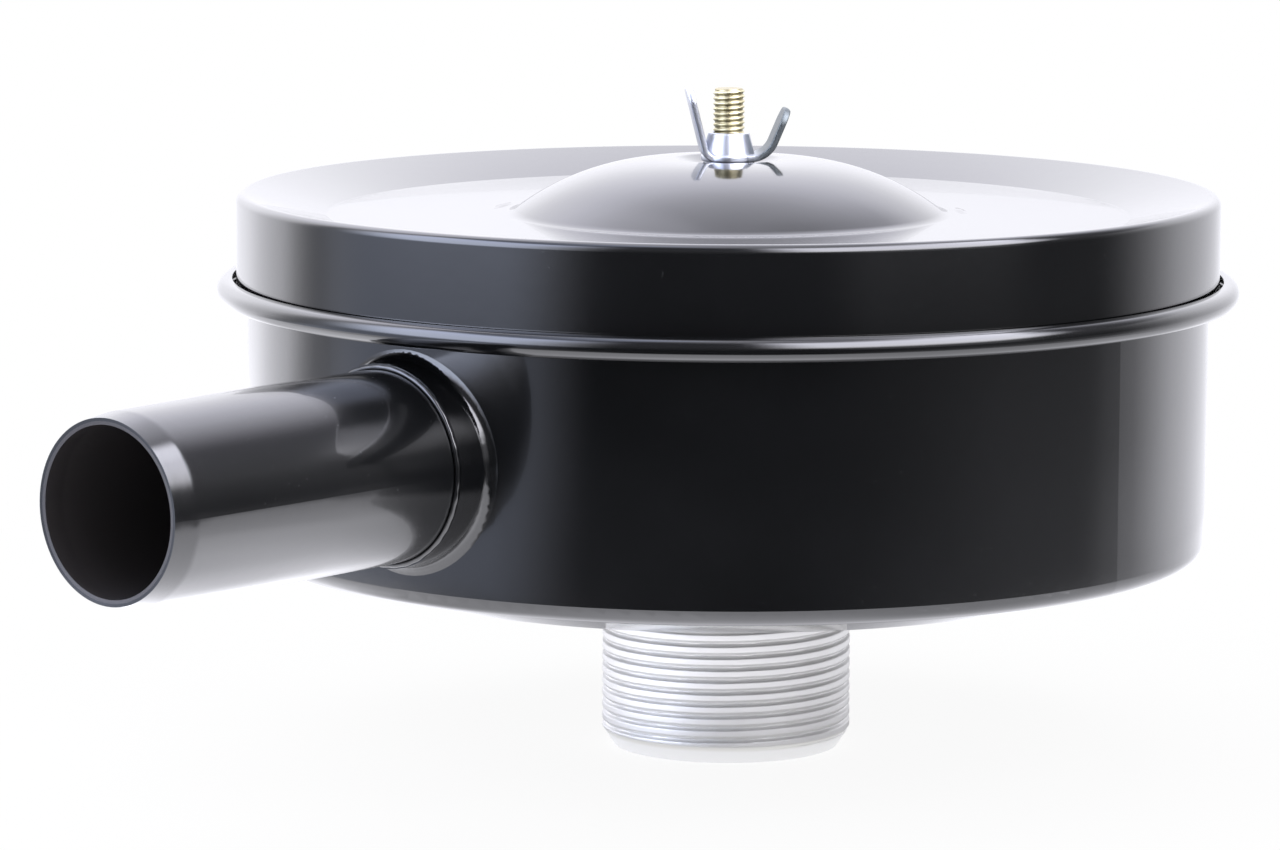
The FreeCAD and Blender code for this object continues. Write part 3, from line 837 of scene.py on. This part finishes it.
def gasket_fibre():
    """Pressed fibre sheet: brown with pale and dark flecks and a felted surface."""
    finish = Finish("gasket_fibre", Roughness=0.85)
    flecks = finish.noise(1300, 4, 0.7, stretch=(1, 1, 2))
    dark, pale = colour(0.16, 0.105, 0.07), colour(0.34, 0.25, 0.18)
    base = finish.blend(flecks.step(0.35, 0.65), dark, pale)
    return finish.feed(Base_Color=base, Normal=finish.bump(flecks, 0.08 * MM, 0.6))


def filter_paper():
    """Resin-treated paper: cream, mottled fibres, fine embossed ridges up each pleat and a
    browner, darker tone along the folds, a painted shade in the creases."""
    finish = Finish("filter_paper", Specular_IOR_Level=0.25)
    fibre = finish.noise(1900, 4, 0.65)
    cloud = finish.noise(120, 3)
    inner, outer = PLEAT_RADII
    radius = finish.radius()
    # painted shade: the paper is painted browner and darker along the folds
    fold = radius.step(outer - 3 * MM, outer) + radius.step(inner + 3 * MM, inner)
    mottle = fibre * 0.6 + cloud * 0.4
    paper = finish.blend(mottle, colour(0.66, 0.55, 0.33), colour(0.86, 0.78, 0.58))
    base = finish.blend(fold * 0.45, paper, colour(0.60, 0.46, 0.25))
    sockets = {"Vector": finish.place(), "Scale": 160.0, "Distortion": 0.6}
    ridges = finish.node("ShaderNodeTexWave", {"bands_direction": "Z"}, sockets, 1)
    normal = finish.bump(fibre, 0.10 * MM, 0.5, finish.bump(ridges, 0.12 * MM, 0.5))
    return finish.feed(Base_Color=base, Roughness=0.72 + cloud * 0.18, Normal=normal)


def potting_resin():
    """Cast resin: amber brown, smooth, with small pits where bubbles broke."""
    finish = Finish("potting_resin", Specular_IOR_Level=0.5)
    cloud = finish.noise(150, 3)
    pits = finish.noise(700, 1).step(0.66, 0.74)
    base = finish.blend(cloud, colour(0.15, 0.06, 0.025), colour(0.24, 0.11, 0.05))
    rough = 0.32 + cloud * 0.2
    return finish.feed(Base_Color=base, Roughness=rough, Normal=finish.bump(pits, 0.25 * MM, 0.6))


ENAMEL = black_enamel("black_enamel", 0.10, 0.010 * MM)
TUBE_ENAMEL = black_enamel("black_enamel_tube", 0.16, 0.014 * MM, (TUBE_MOUTH, TUBE_DEEP))
FINISHES = {
    "black_enamel": ENAMEL,
    "turned_aluminium": turned_aluminium(),
    "zinc_sheet": zinc_sheet(),
    "yellow_zinc": yellow_zinc(),
    "bright_zinc": bright_zinc(),
    "seal_rubber": seal_rubber(),
    "gasket_fibre": gasket_fibre(),
    "filter_paper": filter_paper(),
}

for row in frame["record"]["subparts"]:
    node = frame["nodes"].get(row["node"])
    if node is not None:
        node.data.materials.clear()
        node.data.materials.append(FINISHES[row["material_slot"]])
frame["nodes"]["inlet_tube"].data.materials[0] = TUBE_ENAMEL

lid_sheet(ENAMEL)
weld_marks(ENAMEL)
threaded_nipple(FINISHES["turned_aluminium"])
threaded_stud(FINISHES["yellow_zinc"])
pressed_wing_nut(FINISHES["bright_zinc"])
domed_rivets(FINISHES["bright_zinc"])
pleated_paper(FINISHES["filter_paper"])
potting_rings(potting_resin())
neck_seam(TUBE_ENAMEL)


# Studio

def direction(bearing, rise):
    """Unit vector at a bearing, counted to the right of the line to the camera, and a rise."""
    turn = BEARING + bearing
    level = math.cos(rise)
    return Vector((math.sin(turn) * level, -math.cos(turn) * level, math.sin(rise)))


def aim(thing, place, at, roll=0.0):
    """Puts a camera or lamp at a place, looking at a point, its picture turned clockwise."""
    back = (place - at).normalized()
    right = Vector((0, 0, 1)).cross(back).normalized()
    up = back.cross(right)
    turned_right = right * math.cos(roll) + up * math.sin(roll)
    turned_up = up * math.cos(roll) - right * math.sin(roll)
    matrix = Matrix((turned_right, turned_up, back)).transposed().to_4x4()
    matrix.translation = place
    thing.matrix_world = matrix


def area_lamp(name, bearing, rise, distance, size, radiance):
    """Rectangular lamp that faces the object; its watts follow from the radiance wanted."""
    lamp = bpy.data.lights.new(name, "AREA")
    lamp.shape = "RECTANGLE"
    lamp.size, lamp.size_y = size
    level = max(radiance)
    lamp.color = [part / level for part in radiance]
    lamp.energy = level * math.pi * size[0] * size[1]
    thing = bpy.data.objects.new(name, lamp)
    bpy.context.scene.collection.objects.link(thing)
    towards = direction(math.radians(bearing), math.radians(rise))
    aim(thing, CAMERA_AIM + towards * distance, CAMERA_AIM)
    thing.visible_camera = False
    thing.visible_glossy = False


def stage_sheet(name, outline, count, material):
    """Stage surface: an open (r, z) outline turned about Z."""
    mesh = grid_mesh(name, [(spun(outline, count), (False, True))])
    thing = placed(name, mesh, material)
    return thing


def floor_finish():
    """Pale floor: its shaded colour under a white glow for the rays that see the background;
    away from the object the glow takes over, so that the floor has no visible end."""
    pale = colour(0.86, 0.86, 0.87)
    finish = Finish("floor_pale", Base_Color=pale, Roughness=0.6, Specular_IOR_Level=0.2)
    share = finish.radius().step(0.05, 0.30) * FLOOR_SHADE + (1 - FLOOR_SHADE)
    factor = finish.background_rays().step(0.0, 1.0) * share
    white = {"Color": colour(1, 1, 1), "Strength": 1.0}
    glow = finish.node("ShaderNodeEmission", None, white)
    shaded = Signal(finish, finish.shader.outputs[0])
    return finish.surface(finish.node("ShaderNodeMixShader", None, {0: factor, 1: shaded, 2: glow}))


def ramp(value, centre, width):
    """0 below and 1 above the centre, with a smooth step of the given width between."""
    share = np.clip((value - centre) / width + 0.5, 0, 1)
    return share * share * (3 - 2 * share)


def between(value, low, high, soft):
    """1 inside low to high and 0 outside, with soft edges."""
    return ramp(value, low, soft) * (1 - ramp(value, high, soft))


def table_light(bearing, radius):
    """The lit table: dim under the object, brightest on the left and dimmer behind, with a
    bright patch before the object, the tube's shade to the left of it, the object's own shade
    behind, and a far part that is dark before the object and bright on the left and behind."""
    away = np.abs(bearing)
    lit = np.interp(bearing, [-115, -75, -45, 0, 50, 110], [1.3, 2.9, 2.6, 2.5, 2.15, 1.3])
    under = 0.4 * (1 - ramp(radius, 0.055, 0.03))
    light = under + lit * between(radius, 0.055, TABLE_EDGE, 0.05)
    light += 0.5 * between(radius, 0.085, 0.125, 0.03) * between(bearing, -20, 25, 20)
    light -= 0.8 * between(radius, 0.075, 0.112, 0.03) * between(bearing, -80, -40, 24)
    light *= 1 - 0.4 * ramp(away, 120, 30) * (1 - ramp(radius, 0.09, 0.04))
    turns = [-180, -110, -75, -50, 40, 80, 110]
    far_part = np.interp(bearing, turns, [1.5, 1.9, 1.9, 0.4, 0.4, 0.8, 1.5])
    return light + far_part * between(radius, TABLE_EDGE, 0.33, 0.06) * ramp(away, 25, 20)


def wall_light(bearing, radius, rise):
    """The room past the table: a dark camera side that is paler to the left and low on the
    right, and a bright wall behind that grows brighter upwards, whose right-hand end draws
    back with the distance and as it rises."""
    end = np.interp(radius, [0.35, 0.5, 0.75, 1.3], [97, 104, 107, 108])
    end = end + np.interp(rise, [0, 26, 34, 44, 60], [0, 4, 24, 30, 20])
    behind = ramp(bearing, end, 38 + 0.35 * rise) + 1 - ramp(bearing, -113, 20)
    levels = [0, 8, 20, 30, 42, 50, 60, 90]
    climb = np.interp(rise, levels, [1.2, 1.3, 1.7, 1.9, 2.3, 2.4, 2.2, 1.8])
    turns = [-180, -150, -120, 120, 150, 180]
    climb = climb * np.interp(bearing, turns, [0.94, 1.04, 1.08, 1.02, 0.88, 0.94])
    dark = 0.085 - 0.045 * ramp(radius, 0.52, 0.2) + 0.007 * np.minimum(rise, 30)
    dark += 0.2 * between(bearing, 42, 150, 60) * (1 - 0.6 * ramp(radius, 0.95, 0.4))
    dark += 0.5 * between(bearing, 26, 68, 16) * between(rise, 4, 24, 8)
    dark += 0.95 * between(bearing, -106, -40, 24) + 0.5 * between(bearing, -150, -112, 22)
    return dark + climb * np.maximum(behind, ramp(rise, 75, 30))


def lamp_light(bearing, rise):
    """A tall window on the left and a large softbox high on the right, whose outer ends both
    reach further round as they rise."""
    window_end = np.interp(rise, [10, 25, 38], [-84, -91, -99])
    window = 4.8 * between(bearing, window_end, -38, 30) * between(rise, 7, 54, 12)
    softbox_end = np.interp(rise, [20, 32, 50, 59], [64, 79, 93, 115])
    softbox = 9.0 * between(bearing, 14, softbox_end, 20) * between(rise, 23, 68, 18)
    return window + softbox


def room_light(bearing, radius, rise):
    """What gloss sees of the studio as red, green and blue, by bearing and rise in degrees
    and by distance on the table. The window's side and the ceiling are cooler."""
    far = ramp(radius, ROOM_START, 0.06)
    room = wall_light(bearing, radius, rise) + lamp_light(bearing, rise)
    level = table_light(bearing, radius) * (1 - far) + room * far
    window_side = (far * between(bearing, -100, -36, 30))[..., None]
    ceiling = ramp(rise, 35, 30)[..., None]
    tint = ROOM_TINT + window_side * WINDOW_TINT + ceiling * CEILING_TINT
    return level[..., None] * tint


def glowing_room():
    """Half ball of glow round the table, seen in gloss alone: a disc on the table that runs
    up into a dome, with the light of each place as the colour of its points."""
    near = [0.026, 0.035]
    table = np.concatenate([near, np.linspace(0.045, 0.42, 64), np.linspace(0.5, 1.3, 12)])
    climb = np.radians(np.linspace(4, 90, 60))
    outline = np.vstack([
        np.stack([table, 0 * table], axis=-1),
        ROOM_RADIUS * np.stack([np.cos(climb), np.sin(climb)], axis=-1),
    ]) + (0, FLOOR_Z + ROOM_LIFT)
    finish = Finish("room_glow")
    colours = finish.node("ShaderNodeAttribute", {"attribute_name": "light"})
    glow = finish.node("ShaderNodeEmission", None, {"Color": colours, "Strength": 1.0})
    thing = stage_sheet("room", outline, ROOM_STEPS, finish.surface(glow))
    x, y, z = spun(outline, ROOM_STEPS).reshape(-1, 3).T
    toward, aside = direction(0, 0), direction(math.pi / 2, 0)
    bearing = np.degrees(np.arctan2(x * aside.x + y * aside.y, x * toward.x + y * toward.y))
    radius, height = np.hypot(x, y), z - FLOOR_Z
    on_wall = height > 10 * ROOM_LIFT
    rise = np.degrees(np.arctan2(height, radius)) * on_wall
    light = np.ones((x.size, 4))
    light[:, :3] = room_light(bearing, np.where(on_wall, ROOM_RADIUS, radius), rise)
    layer = thing.data.attributes.new("light", "FLOAT_COLOR", "POINT")
    layer.data.foreach_set("color", light.ravel())
    thing.visible_camera = False
    thing.visible_diffuse = False
    thing.visible_transmission = False
    thing.visible_shadow = False


def studio_world():
    """White for the rays that see the background, and a soft even light for the rest."""
    world = bpy.data.worlds.new("studio")
    world.use_nodes = True
    nodes = Nodes(world.node_tree)
    background = nodes.tree.nodes["Background"]
    background.inputs["Color"].default_value = colour(1, 1, 1)
    span = {"Value": nodes.background_rays(), "To Min": WORLD_LIGHT, "To Max": 1.0}
    strength = nodes.node("ShaderNodeMapRange", None, span)
    nodes.tree.links.new(strength.socket, background.inputs["Strength"])
    bpy.context.scene.world = world


def studio_camera():
    """Long lens at the photograph's bearing and rise."""
    lens = bpy.data.cameras.new("camera")
    lens.lens = CAMERA_LENS
    lens.sensor_width = CAMERA_SENSOR
    lens.shift_x = CAMERA_SHIFT
    lens.clip_start, lens.clip_end = CAMERA_CLIP
    camera = bpy.data.objects.new("camera", lens)
    bpy.context.scene.collection.objects.link(camera)
    place = CAMERA_AIM + direction(0, CAMERA_RISE) * CAMERA_DISTANCE
    aim(camera, place, CAMERA_AIM, CAMERA_ROLL)
    bpy.context.scene.camera = camera


floor_outline = np.array([(radius, FLOOR_Z) for radius in FLOOR_RADII])
stage_sheet("floor", floor_outline, FLOOR_STEPS, floor_finish())
glowing_room()
for lamp_row in LAMPS:
    area_lamp(*lamp_row)
studio_world()
studio_camera()
bpy.context.scene.view_settings.view_transform = "Standard"
